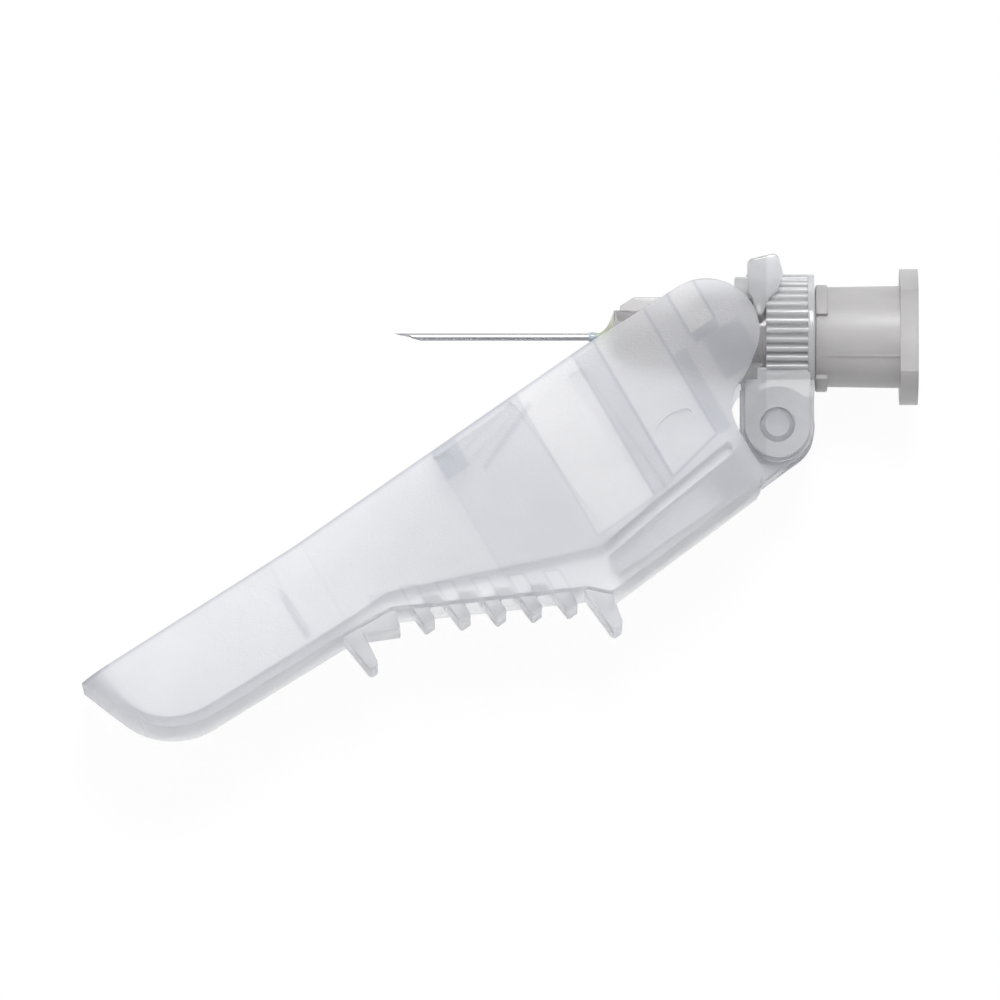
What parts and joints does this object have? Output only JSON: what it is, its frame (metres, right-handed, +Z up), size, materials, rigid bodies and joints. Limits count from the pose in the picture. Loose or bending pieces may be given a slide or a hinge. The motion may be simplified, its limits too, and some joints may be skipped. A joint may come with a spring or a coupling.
{
  "type": "safety hypodermic needle",
  "caption": "Bevelled steel cannula glued into a Luer hub, with a swivelling knurled collar that carries a hinged U-shaped shield to close over the needle after use.",
  "frame": {"origin": "middle of the part's footprint, on the plane that it lies on", "axes": "+X along the cannula from its point to the Luer end, +Y to the side that the shield closes from, +Z up out of the shield's side wall that it lies on"},
  "size_m": [0.048, 0.0274, 0.009],
  "materials": {
    "cannula_steel": "fine drawn steel, bright",
    "cured_adhesive": "glossy cured resin, yellow-green, slightly clear",
    "hub_plastic": "translucent warm grey polypropylene, satin",
    "clear_plastic": "clear moulded plastic, polished",
    "frosted_plastic": "frosted translucent plastic, pale blue-grey"
  },
  "bodies": {
    "hub": {"hub": "hub_plastic", "cannula": "cannula_steel", "adhesive": "cured_adhesive"},
    "collar": {"collar": "clear_plastic"},
    "shield": {"shield": "frosted_plastic"}
  },
  "joints": [
    {"name": "collar_swivel", "type": "hinge", "parent": "hub", "child": "collar", "pos_m": [0.01666, 0.00927, 0.0045], "axis": [1, 0, 0], "continuous": true},
    {"name": "shield_hinge", "type": "hinge", "parent": "collar", "child": "shield", "pos_m": [0.01591, 0.0039, 0.0045], "axis": [0, 0, 1], "range_deg": [-34.85, 85.15]}
  ]
}
